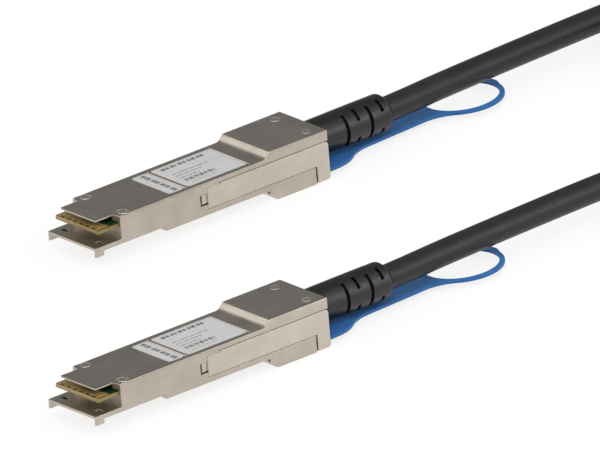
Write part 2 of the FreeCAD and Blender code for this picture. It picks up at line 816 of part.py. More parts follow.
def pull_tab():
    """The soft strap: thick root on the bridge, a strip under the boot and an oval finger loop."""
    thick, reach = size("tab_thick"), size("cutter_reach")
    strap = strap_face().extrude(V(0, 0, thick))
    loop = oval_face(size("tab_loop_long"), size("tab_loop_half")).extrude(V(0, 0, thick))
    hole = oval_face(size("tab_hole_long"), size("tab_hole_half")).extrude(V(0, 0, thick))
    solid = strap.fuse(loop).removeSplitter()
    strip_end = size("tab_shoulder") + size("tab_neck")
    inner_corners = [
        edge
        for edge in solid.Edges
        if near(edge.BoundBox.ZLength, thick)
        and strip_end + 1 < edge.BoundBox.Center.x < size("tab_loop_centre")
        and near(abs(edge.BoundBox.Center.y), size("tab_strip_half"))
    ]
    solid = solid.makeFillet(size("tab_loop_fillet"), inner_corners).cut(hole)
    back, drop = size("tab_root_back"), size("tab_root_thick") - thick
    root = Part.makeBox(
        back + size("tab_root_block"), 2 * size("tab_root_half"), size("tab_root_thick"),
        V(-back, -size("tab_root_half"), -drop),
    )
    solid = solid.fuse(root).removeSplitter()
    solid.rotate(V(), V(0, 0, 1), size("tab_yaw"))
    solid.translate(V(size("tab_pivot_x"), 0, size("slider_sheet") - size("underside_drop") + drop))
    for side, _ in SIDES:
        low = V(size("tab_pivot_x"), side * size("tab_rivet_y"), -reach / 2)
        solid = solid.cut(Part.makeCylinder(size("tab_rivet_radius"), reach, low))
    return made("pull_tab", [solid])


def tab_rivets():
    """Two rivets through the bridge and the strap's root, headed above the root."""
    pins = []
    for side, word in SIDES:
        place = "tab_pivot_x", "%d * tab_rivet_y" % side
        shank = rod("tab_shank_" + word, *place, "-1 * underside_drop", "tab_rivet_radius",
                    "slider_sheet + tab_root_thick", UP)
        head = rod("tab_head_" + word, *place, "slider_sheet - underside_drop + tab_root_thick",
                   "tab_rivet_head", "tab_rivet_head_thick", UP)
        pins.append(fuse("tab_rivet_" + word, [shank, head]))
    return gathered("tab_rivets", pins)


def label(word):
    """A blank label with cut corners, lying in its recess."""
    low, high = word + "_label_x", "%s_label_x + %s_label_length" % (word, word)
    return prism(
        word + "_label",
        "top",
        [
            (low, "label_corner - label_half"),
            (low + " + label_corner", "-1 * label_half"),
            (high + " - label_corner", "-1 * label_half"),
            (high, "label_corner - label_half"),
            (high, "label_half - label_corner"),
            (high + " - label_corner", "label_half"),
            (low + " + label_corner", "label_half"),
            (low, "label_half - label_corner"),
        ],
        "label_thick",
        start="module_height - label_recess",
    )


def run_solid(name, points):
    """A round cable along straight runs joined by tangent arcs; prints its radii and checks its volume."""
    edges, last, radii, length = [], points[0], [], 0.0
    for before, corner, after in zip(points, points[1:], points[2:]):
        inward, outward = (corner - before).normalize(), (after - corner).normalize()
        turn = inward.getAngle(outward)
        trim = 0.45 * min((corner - before).Length, (after - corner).Length)
        radii.append(trim / math.tan(turn / 2))
        arc_start, arc_end = corner - inward * trim, corner + outward * trim
        toward = (outward - inward).normalize()
        sagitta = radii[-1] * (1 / math.cos(turn / 2) - 1)
        edges.append(Part.LineSegment(last, arc_start).toShape())
        edges.append(Part.Arc(arc_start, corner + toward * sagitta, arc_end).toShape())
        length += (arc_start - last).Length + radii[-1] * turn
        last = arc_end
    edges.append(Part.LineSegment(last, points[-1]).toShape())
    length += (points[-1] - last).Length
    radius = size("cable_radius")
    section = Part.Wire([Part.makeCircle(radius, points[0], (points[1] - points[0]).normalize())])
    solid = Part.Wire(edges).makePipeShell([section], True, False)
    wanted = math.pi * radius * radius * length
    print("%s: length %.1f mm, radii %s mm" % (name, length, ", ".join("%.0f" % r for r in radii)))
    if min(radii) < 10 * radius or abs(solid.Volume / wanted - 1) > 0.01:
        raise RuntimeError("%s bends too tightly or did not sweep cleanly" % name)
    return made(name, [solid])


def cable_coil(centre):
    """The spare cable wound two turns wide and two high, with a straight lead to each run."""
    radius, gap = size("cable_radius"), size("turn_gap")
    inner, outer = size("coil_mean_radius") - gap / 2 - radius, size("coil_mean_radius") + gap / 2 + radius
    low = centre.z - radius
    solid = Part.makeCylinder(outer, gap + 2 * radius, V(centre.x, centre.y, low)).cut(
        Part.makeCylinder(inner, gap + 2 * radius, V(centre.x, centre.y, low))
    )
    for side, height in ((1, 0), (-1, gap)):
        y = centre.y + side * (size("coil_mean_radius") + gap / 2)
        start = V(centre.x - size("coil_lead"), y, centre.z + height)
        solid = solid.fuse(Part.makeCylinder(radius, size("coil_lead"), start, V(1, 0, 0)))
    return made("cable_coil", [solid])


PIECES = [
    bottom_shell(),
    top_cover(),
    paddle_card(),
    contact_pads(),
    memory_chip(),
    chip_capacitors(),
    twinax_pairs(),
    wire_block(),
    crimp_ferrule(),
    jacket_end(),
    strain_boot(),
    release_slider(),
    return_springs(),
    pull_tab(),
    tab_rivets(),
    label("large"),
    label("small"),
]
doc.recompute()

# The origin lies midway between the two plugs, on the surface they rest on
plug_box = Part.makeCompound([piece.Shape for piece in PIECES]).optimalBoundingBox(False)
PLUGS = {
    word: V(
        side * size("plug_spacing_x") / 2 - plug_box.Center.x,
        side * size("plug_spacing_y") / 2 - plug_box.Center.y,
        size("underside_drop"),
    )
    for side, word in ((1, "a"), (-1, "b"))
}

nodes = []
for word, offset in PLUGS.items():
    for piece in PIECES:
        node = gathered("%s_%s" % (word, piece.Name), [piece])
        node.Placement.Base = offset
        nodes.append(node)

# The two runs, from the end of each boot to a lead of the coil, in plug a's frame
coil_height = size("cable_radius") - size("underside_drop") + size("floor_gap")
coil_centre = V(size("coil_x"), size("coil_y"), coil_height)
lead_x, lead_y = size("coil_x") - size("coil_lead"), size("coil_mean_radius") + size("turn_gap") / 2
lead_a = V(lead_x, size("coil_y") + lead_y, coil_centre.z)
lead_b = V(lead_x, size("coil_y") - lead_y, coil_centre.z + size("turn_gap"))
boot_a = V(size("boot_end_x"), 0, size("cable_height"))
boot_b = boot_a + PLUGS["b"] - PLUGS["a"]
span_a, span_b = (lead_a - boot_a).x, (lead_b - boot_b).x
seen = [V(share * span_a, y, 0) for share, y in ((0, 0), (0.086, 0), (0.25, 1.75), (0.578, 3.7))]
hump = ((0.464, 6.2, size("turn_gap")), (0.193, 1.4, 4.6), (0.077, 0, 0), (0, 0, 0))
route_a = [boot_a + step for step in seen] + [lead_a - V(0.165 * span_a, 0, 0), lead_a]
route_b = [boot_b + step for step in seen]
route_b += [lead_b - V(share * span_b, down_y, down_z) for share, down_y, down_z in hump]
for name, route in (("cable_run_a", route_a), ("cable_run_b", route_b)):
    nodes.append(run_solid(name, [point + PLUGS["a"] for point in route]))
nodes.append(cable_coil(coil_centre + PLUGS["a"]))
doc.recompute()

for item in doc.Objects:
    if "Invalid" in item.State or "Error" in item.State:
        raise RuntimeError("%s did not build: %s" % (item.Name, item.State))
for node in nodes:
    if node.Shape.isNull() or not node.Shape.isValid():
        raise RuntimeError("%s has no valid shape" % node.Name)
    node.Label = node.Name
    node.Shape.exportStep("parts/%s.step" % node.Name)
for word, offset in PLUGS.items():
    print("plug %s stands at %.4f, %.4f, %.4f" % (word, *offset))
print("%d pieces written" % len(nodes))
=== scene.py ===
import json
import math

import bmesh
import bpy
from bpy.props import FloatProperty, FloatVectorProperty, IntProperty, PointerProperty
from mathutils import Matrix, Vector

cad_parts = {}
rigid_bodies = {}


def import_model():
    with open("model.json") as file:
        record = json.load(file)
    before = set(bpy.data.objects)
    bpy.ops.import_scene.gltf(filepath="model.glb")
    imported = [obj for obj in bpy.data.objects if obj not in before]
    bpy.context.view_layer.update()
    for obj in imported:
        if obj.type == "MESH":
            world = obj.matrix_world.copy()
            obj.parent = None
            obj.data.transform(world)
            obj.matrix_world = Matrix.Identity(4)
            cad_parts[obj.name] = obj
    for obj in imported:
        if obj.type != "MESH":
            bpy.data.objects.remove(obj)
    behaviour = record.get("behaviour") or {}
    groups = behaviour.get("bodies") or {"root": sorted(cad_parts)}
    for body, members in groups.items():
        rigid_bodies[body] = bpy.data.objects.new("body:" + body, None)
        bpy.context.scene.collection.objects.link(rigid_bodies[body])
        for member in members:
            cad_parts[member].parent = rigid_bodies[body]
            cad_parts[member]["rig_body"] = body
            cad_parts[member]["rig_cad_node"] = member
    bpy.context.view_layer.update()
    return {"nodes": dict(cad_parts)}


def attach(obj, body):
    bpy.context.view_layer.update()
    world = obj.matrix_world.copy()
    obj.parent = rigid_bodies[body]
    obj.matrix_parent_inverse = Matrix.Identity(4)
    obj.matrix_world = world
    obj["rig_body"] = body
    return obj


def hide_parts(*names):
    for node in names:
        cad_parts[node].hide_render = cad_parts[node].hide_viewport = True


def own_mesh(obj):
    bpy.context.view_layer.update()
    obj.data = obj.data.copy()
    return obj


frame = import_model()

bl_info = {
    "name": "Direct Attach Cable",
    "version": (1, 0, 0),
    "blender": (4, 5, 0),
    "location": "3D View > Sidebar > Cable",
    "description": "Dresses a packed direct attach copper cable and sets up its studio",
    "category": "Object",
}

MM = 0.001
PLUGS = ("a", "b")
FIXED = "cable_and_plugs"

# Points nearer than this, in metres, are merged into one
WELD = 0.000004

# Where each plug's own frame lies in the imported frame. Its x runs back from the tip of the nose, its y
# across the plug from the middle and its z up from the nose's underside, all in millimetres.
PLUG_AT = {
    "a": Vector((-0.0345941, 0.0397210, 0.003)),
    "b": Vector((-0.1045941, -0.0442790, 0.003)),
}

# The cable's free runs, from each boot towards the coil
RUN_A = ((0.06601, 0.03972, 0.00763), (0.07352, 0.04018, 0.00763), (0.08786, 0.04155, 0.00763),
         (0.12800, 0.04362, 0.00763), (0.14900, 0.04460, 0.00735), (0.16500, 0.04340, 0.00333))
RUN_B = ((-0.00399, -0.04428, 0.00763), (0.00352, -0.04382, 0.00763), (0.01786, -0.04245, 0.00763),
         (0.05800, -0.04038, 0.00763), (0.07800, -0.03910, 0.00720), (0.09750, -0.03720, 0.00333),
         (0.11750, -0.03460, 0.00333), (0.13850, -0.03200, 0.00980), (0.15341, -0.03113, 0.01003))


class CableSizes(bpy.types.PropertyGroup):
    """Sizes of the cable, its trim and its studio"""

    cable_diameter: FloatProperty(
        name="Cable diameter", description="Outside of the jacket", default=0.0066, min=0.001,
        unit="LENGTH", precision=5)
    coil_centre: FloatVectorProperty(
        name="Coil centre", description="Middle of the coil's lowest turn",
        default=(0.17741, 0.00522, 0.00333), subtype="TRANSLATION", unit="LENGTH", precision=5)
    coil_radius: FloatProperty(
        name="Coil radius", description="Mean radius of the turns", default=0.033, min=0.02,
        unit="LENGTH", precision=5)
    turn_gap: FloatProperty(
        name="Turn gap", description="Distance between neighbouring turns", default=0.0067, min=0.001,
        unit="LENGTH", precision=5)
    turn_points: IntProperty(
        name="Points a turn", description="Control points in one turn of the coil", default=16, min=12)
    casting_edge: FloatProperty(
        name="Casting edge", description="Rounding on the die-cast edges", default=0.00008, min=0.0,
        unit="LENGTH", precision=5)
    sheet_edge: FloatProperty(
        name="Sheet edge", description="Rounding on the stamped slider's edges", default=0.00007,
        min=0.0, unit="LENGTH", precision=5)
    strap_edge: FloatProperty(
        name="Strap edge", description="Rounding on the pull tab's edges", default=0.00012, min=0.0,
        unit="LENGTH", precision=5)
    boot_radius: FloatProperty(
        name="Boot radius", description="Outside of the boot", default=0.00465, min=0.001,
        unit="LENGTH", precision=5)
    boot_shoulder: FloatProperty(
        name="Boot shoulder", description="Length over which the boot's end rounds down to the cable",
        default=0.0017, min=0.0, unit="LENGTH", precision=5)
    slot_width: FloatProperty(
        name="Boot slot width", description="Width of one slot", default=0.00098, min=0.0001,
        unit="LENGTH", precision=5)
    slot_pitch: FloatProperty(
        name="Boot slot pitch", description="Distance from slot to slot", default=0.00383, min=0.001,
        unit="LENGTH", precision=5)
    spring_wire: FloatProperty(
        name="Spring wire", description="Diameter of the return springs' wire", default=0.00028,
        min=0.0001, unit="LENGTH", precision=5)
    view_width: FloatProperty(
        name="View width", description="Width of what the camera sees", default=0.14793, min=0.01,
        unit="LENGTH", precision=5)


class CableColours(bpy.types.PropertyGroup):
    """Colours of the cable's finishes"""

    nickel: FloatVectorProperty(
        name="Nickel", description="Plated castings", subtype="COLOR", size=3, min=0, max=1,
        default=(0.515, 0.455, 0.39))
    slider: FloatVectorProperty(
        name="Slider", description="Plated sheet of the slider", subtype="COLOR", size=3, min=0, max=1,
        default=(0.59, 0.53, 0.455))
    jacket: FloatVectorProperty(
        name="Jacket", description="Cable jacket", subtype="COLOR", size=3, min=0, max=1,
        default=(0.0205, 0.0190, 0.0190))
    boot: FloatVectorProperty(
        name="Boot", description="Moulded boot", subtype="COLOR", size=3, min=0, max=1,
        default=(0.0085, 0.0075, 0.0075))
    strap: FloatVectorProperty(
        name="Strap", description="Pull tab", subtype="COLOR", size=3, min=0, max=1,
        default=(0.042, 0.178, 0.475))
    board: FloatVectorProperty(
        name="Board", description="Bare edge of the circuit board", subtype="COLOR", size=3, min=0, max=1,
        default=(0.40, 0.32, 0.12))
    mask: FloatVectorProperty(
        name="Solder mask", description="Green lacquer on the board", subtype="COLOR", size=3,
        min=0, max=1, default=(0.010, 0.055, 0.022))
    gold: FloatVectorProperty(
        name="Gold", description="Contact fingers", subtype="COLOR", size=3, min=0, max=1,
        default=(0.80, 0.60, 0.25))
    paper: FloatVectorProperty(
        name="Label", description="Label stock", subtype="COLOR", size=3, min=0, max=1,
        default=(0.60, 0.597, 0.585))
    print_grey: FloatVectorProperty(
        name="Print", description="Bars printed on the labels", subtype="COLOR", size=3, min=0, max=1,
        default=(0.145, 0.145, 0.15))


# Materials


def new_material(name):
    """A material with its Principled shader, its node tree and a link function."""
    material = bpy.data.materials.new(name)
    material.use_nodes = True
    nodes = material.node_tree.nodes
    shader = nodes["Principled BSDF"]
    return material, shader, nodes, material.node_tree.links.new


def object_noise(nodes, link, scale, stretch=(1, 1, 1), detail=3.0):
    """A noise on the object's own coordinates, in grains a metre, stretched along an axis."""
    where = nodes.new("ShaderNodeTexCoord")
    mapping = nodes.new("ShaderNodeMapping")
    mapping.inputs["Scale"].default_value = stretch
    noise = nodes.new("ShaderNodeTexNoise")
    noise.inputs["Scale"].default_value = scale
    noise.inputs["Detail"].default_value = detail
    link(where.outputs["Object"], mapping.inputs["Vector"])
    link(mapping.outputs["Vector"], noise.inputs["Vector"])
    return noise.outputs["Fac"]


def spread(nodes, link, value, low, high):
    """Maps a value's middle range onto two limits."""
    to_range = nodes.new("ShaderNodeMapRange")
    to_range.inputs["From Min"].default_value = 0.3
    to_range.inputs["From Max"].default_value = 0.7
    to_range.inputs["To Min"].default_value = low
    to_range.inputs["To Max"].default_value = high
    link(value, to_range.inputs["Value"])
    return to_range.outputs["Result"]


def shade_between(nodes, link, value, dark, light):
    """A colour between two, chosen by a value."""
    ramp = nodes.new("ShaderNodeValToRGB")
    ramp.color_ramp.elements[0].position = 0.35
    ramp.color_ramp.elements[1].position = 0.65
    ramp.color_ramp.elements[0].color = (*dark, 1)
    ramp.color_ramp.elements[1].color = (*light, 1)
    link(value, ramp.inputs["Fac"])
    return ramp.outputs["Color"]


def raise_by(nodes, link, shader, value, height, strength=1.0):
    """A bump of a real height, in metres."""
    bump = nodes.new("ShaderNodeBump")
    bump.inputs["Strength"].default_value = strength
    bump.inputs["Distance"].default_value = height
    link(value, bump.inputs["Height"])
    link(bump.outputs["Normal"], shader.inputs["Normal"])


def dimmed(colour, factor):
    """A colour made darker or lighter."""
    return tuple(min(1.0, c * factor) for c in colour)


def plated_metal(name, colour, roughness, grain=9000, stretch=(1, 1, 1), grain_height=0.000004,
                 metallic=1.0):
    """Nickel plate: uneven tone, fine grain and a satin gloss that varies a little."""
    material, shader, nodes, link = new_material(name)
    tone = object_noise(nodes, link, 140, detail=4)
    link(shade_between(nodes, link, tone, dimmed(colour, 0.93), dimmed(colour, 1.05)),
         shader.inputs["Base Color"])
    smear = object_noise(nodes, link, 420, stretch=(0.25, 1, 1), detail=4)
    link(spread(nodes, link, smear, roughness - 0.05, roughness + 0.07), shader.inputs["Roughness"])
    shader.inputs["Metallic"].default_value = metallic
    raise_by(nodes, link, shader, object_noise(nodes, link, grain, stretch, 2), grain_height, 0.5)
    return material


def moulded(name, colour, roughness, grain=4000, grain_height=0.00001, stretch=(1, 1, 1), mottle=0.12,
            gloss=0.5):
    """Moulded plastic: slightly uneven colour and gloss over a fine texture."""
    material, shader, nodes, link = new_material(name)
    shader.inputs["Specular IOR Level"].default_value = gloss
    tone = object_noise(nodes, link, 260, stretch, 4)
    link(shade_between(nodes, link, tone, dimmed(colour, 1 - mottle), dimmed(colour, 1 + mottle)),
         shader.inputs["Base Color"])
    smear = object_noise(nodes, link, 900, stretch, 3)
    link(spread(nodes, link, smear, roughness - 0.05, roughness + 0.06), shader.inputs["Roughness"])
    raise_by(nodes, link, shader, object_noise(nodes, link, grain, stretch, 2), grain_height, 0.6)
    return material


def use(piece, material):
    """Gives a piece one material all over."""
    piece.data.materials.clear()
    piece.data.materials.append(material)


FINISHES = {}


def finish(name):
    """One of this object's finishes, made when it is first asked for."""
    if name not in FINISHES:
        colours = bpy.context.scene.cable_colours
        makers = {
            "nickel_casting": lambda n: plated_metal(n, colours.nickel, 0.36),
            "nickel_sheet": lambda n: plated_metal(
                n, colours.slider, 0.33, grain=6000, stretch=(0.08, 1, 1)),
            # Nickel darkened as painted shade: nearly black for the far nose pocket and gusset front,
            # dimmer for the near ones
            "painted_dark_shade_casting": lambda n: plated_metal(n, dimmed(colours.nickel, 0.1), 0.6),
            "painted_half_shade_casting": lambda n: plated_metal(n, dimmed(colours.nickel, 0.35), 0.5),
            # Brighter, glossier nickel: the peened heads' own finish, and on the label lips a painted
            # highlight
            "peened_nickel_and_painted_highlight": lambda n: plated_metal(n, dimmed(colours.nickel, 1.25), 0.24),
            "spring_wire": lambda n: plated_metal(n, (0.55, 0.55, 0.56), 0.3),
            "ferrule_brass": lambda n: plated_metal(n, (0.62, 0.50, 0.30), 0.35),
            "pair_foil": lambda n: plated_metal(
                n, (0.72, 0.73, 0.75), 0.25, grain=2500, stretch=(0.2, 1, 1), grain_height=0.00003),
            "contact_gold": lambda n: plated_metal(n, colours.gold, 0.3, metallic=0.5),
            "cable_jacket": lambda n: moulded(
                n, colours.jacket, 0.42, grain=2600, grain_height=0.00002, gloss=0.33),
            "boot_plastic": lambda n: moulded(n, colours.boot, 0.4, grain=5200),
            "strap_plastic": lambda n: moulded(
                n, colours.strap, 0.42, grain=3200, grain_height=0.000012, mottle=0.08, gloss=0.25),
            "board_edge": lambda n: moulded(
                n, colours.board, 0.55, grain=3000, grain_height=0.00002, stretch=(0.2, 0.2, 3),
                mottle=0.2),
            "board_face": lambda n: moulded(n, (0.14, 0.075, 0.022), 0.45, grain=3000, mottle=0.2),
            "solder_mask": lambda n: moulded(
                n, colours.mask, 0.3, grain=2200, grain_height=0.000008, mottle=0.2),
            "black_moulding": lambda n: moulded(n, (0.03, 0.03, 0.032), 0.5),
            "chip_body": lambda n: moulded(n, (0.02, 0.02, 0.022), 0.55, grain=6000),
            "ceramic": lambda n: moulded(n, (0.42, 0.30, 0.19), 0.45),
            "label_stock": lambda n: moulded(
                n, colours.paper, 0.5, grain=7000, grain_height=0.000004, mottle=0.03),
            "label_print": lambda n: moulded(
                n, colours.print_grey, 0.6, grain=7000, grain_height=0.000002),
        }
        FINISHES[name] = makers[name](name)
    return FINISHES[name]


# Ways of making pieces


def alone(piece):
    """Selects one piece and nothing else."""
    bpy.ops.object.select_all(action="DESELECT")
    piece.select_set(True)
    bpy.context.view_layer.objects.active = piece


def named(name):
    """The active piece, such as one just added, under its name."""
    piece = bpy.context.view_layer.objects.active
    piece.name = piece.data.name = name
    return piece


def edit_all():
    """Opens the active piece for editing with all of it selected."""
    bpy.ops.object.mode_set(mode="EDIT")
    bpy.ops.mesh.select_all(action="SELECT")


def face_outward():
    """Turns all faces of the piece that is being edited outward, and closes it."""
    bpy.ops.mesh.select_all(action="SELECT")
    bpy.ops.mesh.normals_make_consistent(inside=False)
    bpy.ops.object.mode_set(mode="OBJECT")


def welded_copy(node, name):
    """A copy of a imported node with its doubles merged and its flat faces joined."""
    alone(frame["nodes"][node])
    bpy.ops.object.duplicate()
    piece = bpy.context.view_layer.objects.active
    bpy.ops.object.parent_clear(type="CLEAR_KEEP_TRANSFORM")
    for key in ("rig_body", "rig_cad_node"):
        del piece[key]
    piece.name = piece.data.name = name
    bpy.ops.mesh.customdata_custom_splitnormals_clear()
    edit_all()
    bpy.ops.mesh.remove_doubles(threshold=WELD)
    bpy.ops.mesh.dissolve_limited(angle_limit=math.radians(1.5))
    bpy.ops.object.mode_set(mode="OBJECT")
    return piece


def soften(piece, width, segments=2, angle=34):
    """Rounds a piece's sharp edges, keeping its flat faces flat in the light."""
    alone(piece)
    bpy.ops.object.shade_smooth_by_angle(angle=math.radians(angle))
    bevel = piece.modifiers.new("Edges", "BEVEL")
    bevel.width = width
    bevel.segments = segments
    bevel.limit_method = "ANGLE"
    bevel.angle_limit = math.radians(angle)
    bevel.use_clamp_overlap = False
    bevel.harden_normals = True
    bpy.ops.object.modifier_apply(modifier=bevel.name)


def round_along(piece, wanted, width, segments=3):
    """Rounds only the sharp edges whose two ends pass a test, more widely than the rest."""
    alone(piece)
    bpy.ops.object.mode_set(mode="EDIT")
    bpy.ops.mesh.select_mode(type="EDGE")
    bpy.ops.mesh.select_all(action="DESELECT")
    mesh = bmesh.from_edit_mesh(piece.data)
    for edge in mesh.edges:
        if all(wanted(v.co) for v in edge.verts) and edge.calc_face_angle(0) > math.radians(20):
            edge.select_set(True)
    bmesh.update_edit_mesh(piece.data)
    bpy.ops.mesh.bevel(offset=width, segments=segments, profile=0.5, clamp_overlap=True)
    bpy.ops.object.mode_set(mode="OBJECT")


def nudge(piece, wanted, offset):
    """Moves the vertices whose places pass a test."""
    alone(piece)
    bpy.ops.object.mode_set(mode="EDIT")
    bpy.ops.mesh.select_mode(type="VERT")
    bpy.ops.mesh.select_all(action="DESELECT")
    bpy.ops.object.mode_set(mode="OBJECT")
    for vertex in piece.data.vertices:
        vertex.select = wanted(vertex.co)
    bpy.ops.object.mode_set(mode="EDIT")
    bpy.ops.transform.translate(value=offset)
    bpy.ops.object.mode_set(mode="OBJECT")


def paint_faces(piece, look, wanted):
    """Gives the faces that pass a test another finish; each is told its middle and its normal."""
    piece.data.materials.append(finish(look))
    for face in piece.data.polygons:
        if wanted(face.center, face.normal):
            face.material_index = len(piece.data.materials) - 1


def settle(piece, body, *nodes, look, slot):
    """Gives a finished piece its look and its body, and hides the nodes that it stands for; its slot is
    not used.
    """
    use(piece, finish(look))
    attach(piece, body)
    if nodes:
        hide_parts(*nodes)


def place_applied(piece):
    """Moves a piece's place into its mesh."""
    alone(piece)
    bpy.ops.object.transform_apply(location=True, rotation=True, scale=True)


def at(plug, x, y, z):
    """A point given in a plug's own millimetres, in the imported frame."""
    return PLUG_AT[plug] + Vector((x, y, z)) * MM


def within(plug, point):
    """A packed point in a plug's own millimetres."""
    return (point - PLUG_AT[plug]) / MM


def small_box(name, low, high):
    """A box between two corners."""
    bpy.ops.object.select_all(action="DESELECT")
    bpy.ops.mesh.primitive_cube_add(size=1, location=(low + high) / 2, scale=high - low)
    box = named(name)
    place_applied(box)
    return box


def carve(piece, cutter):
    """Cuts one mesh out of another and deletes it."""
    alone(piece)
    cut = piece.modifiers.new("Cut", "BOOLEAN")
    cut.operation = "DIFFERENCE"
    cut.solver = "EXACT"
    cut.object = cutter
    bpy.ops.object.modifier_apply(modifier=cut.name)
    alone(cutter)
    bpy.ops.object.delete()
    alone(piece)


def turned(name, origin, axis, stations, vertices=48):
    """A round piece from its radii at heights along an axis, extruded ring by ring and capped."""
    bpy.ops.object.select_all(action="DESELECT")
    height, radius = stations[0]
    bpy.ops.mesh.primitive_circle_add(vertices=vertices, radius=radius, location=(0, 0, height))
    piece = named(name)
    place_applied(piece)
    edit_all()
    for next_height, next_radius in stations[1:]:
        rise = (0, 0, next_height - height)
        bpy.ops.mesh.extrude_region_move(TRANSFORM_OT_translate={"value": rise})
        grow = next_radius / radius
        bpy.ops.transform.resize(value=(grow, grow, 1), center_override=(0, 0, next_height))
        height, radius = next_height, next_radius
    bpy.ops.mesh.select_all(action="SELECT")
    bpy.ops.mesh.fill_holes(sides=0)
    face_outward()
    if axis == "X":
        piece.rotation_euler = (0, math.pi / 2, 0)
    piece.location = origin
    place_applied(piece)
    return piece


def joined(pieces, name):
    """Several pieces as one mesh."""
    bpy.ops.object.select_all(action="DESELECT")
    for piece in pieces:
        piece.select_set(True)
    bpy.context.view_layer.objects.active = pieces[0]
    if len(pieces) > 1:
        bpy.ops.object.join()
    return named(name)


# Operators


class CABLE_OT_camera(bpy.types.Operator):
    """Adds the camera at the photograph's angle"""

    bl_idname = "cable.camera"
    bl_label = "Camera"

    # The picture's size, and the pixel at which a point of plug a shows, in the plug's own millimetres
    PICTURE = (600, 450)
    KNOWN_PIXEL = (179.9, 192.2)
    KNOWN_POINT = (35, 0, 4)
    # The camera's right and up before it leans about its line of sight, and its distance in metres
    LEVEL_RIGHT = (0.7876, -0.6162, 0.0)
    LEVEL_UP = (0.2327, 0.2975, 0.9258)
    LEAN = math.radians(-4.72082)
    DISTANCE = 0.8

    def execute(self, context):
        sizes = context.scene.cable_sizes
        right, up = Vector(self.LEVEL_RIGHT), Vector(self.LEVEL_UP)
        back = right.cross(up).normalized()
        lean = Matrix.Rotation(self.LEAN, 3, back)
        right, up = lean @ right, lean @ up
        pixel = sizes.view_width / self.PICTURE[0]
        across, down = (
            pixel * (side / 2 - known) for side, known in zip(self.PICTURE, self.KNOWN_PIXEL))
        middle = at("a", *self.KNOWN_POINT) + right * across - up * down
        data = bpy.data.cameras.new("camera")
        data.type = "ORTHO"
        data.ortho_scale = sizes.view_width
        data.clip_start, data.clip_end = 0.01, 10
        camera = bpy.data.objects.new("camera", data)
        context.scene.collection.objects.link(camera)
        axes = Matrix((right, up, back)).transposed().to_4x4()
        camera.matrix_world = Matrix.Translation(middle + back * self.DISTANCE) @ axes
        context.scene.camera = camera
        return {"FINISHED"}


class CABLE_OT_cable(bpy.types.Operator):
    """Runs the cable from one boot, through its put-away coil, to the other boot"""

    bl_idname = "cable.cable"
    bl_label = "Cable"

    # Each passage of the coil, in turns from its start: where it begins and how long it takes
    COIL_TURNS = 2.5
    INWARD = (0.3, 0.7)
    UPWARD = (1.0, 0.25)
    OUTWARD = (1.3, 0.7)

    def passed(self, turns, passage):
        """The share of a passage that lies behind."""
        start, length = passage
        return min(1.0, max(0.0, (turns - start) / length))

    def coil_points(self, sizes):
        """The coil's turns: outward to inward on the floor, up, and back outward on top."""
        gap = sizes.turn_gap
        inner, outer = sizes.coil_radius - gap / 2, sizes.coil_radius + gap / 2
        points = []
        steps = sizes.turn_points
        for i in range(int(self.COIL_TURNS * steps) + 1):
            turns = i / steps
            inward = self.passed(turns, self.INWARD) - self.passed(turns, self.OUTWARD)
            radius = (outer + (inner - outer) * inward) / math.cos(math.pi / steps)
            rise = gap * self.passed(turns, self.UPWARD)
            angle = math.pi / 2 - 2 * math.pi * turns
            place = Vector((radius * math.cos(angle), radius * math.sin(angle), rise))
            points.append(Vector(sizes.coil_centre) + place)
        return points

    def execute(self, context):
        sizes = context.scene.cable_sizes
        points = [*RUN_A, *self.coil_points(sizes), *reversed(RUN_B)]
        curve = bpy.data.curves.new("cable", "CURVE")
        curve.dimensions = "3D"
        spline = curve.splines.new("NURBS")
        spline.points.add(len(points) - 1)
        for point, place in zip(spline.points, points):
            point.co = (*place, 1)
        spline.order_u = 3
        spline.use_endpoint_u = True
        spline.resolution_u = 8
        cable = bpy.data.objects.new("cable", curve)
        context.scene.collection.objects.link(cable)
        line = bpy.data.meshes.new_from_object(cable)
        bpy.data.meshes.remove(line)
        curve.bevel_depth = sizes.cable_diameter / 2
        curve.bevel_resolution = 10
        curve.use_fill_caps = True
        settle(cable, FIXED, "cable_run_a", "cable_coil", "cable_run_b",
               look="cable_jacket", slot="cable_jacket")
        return {"FINISHED"}


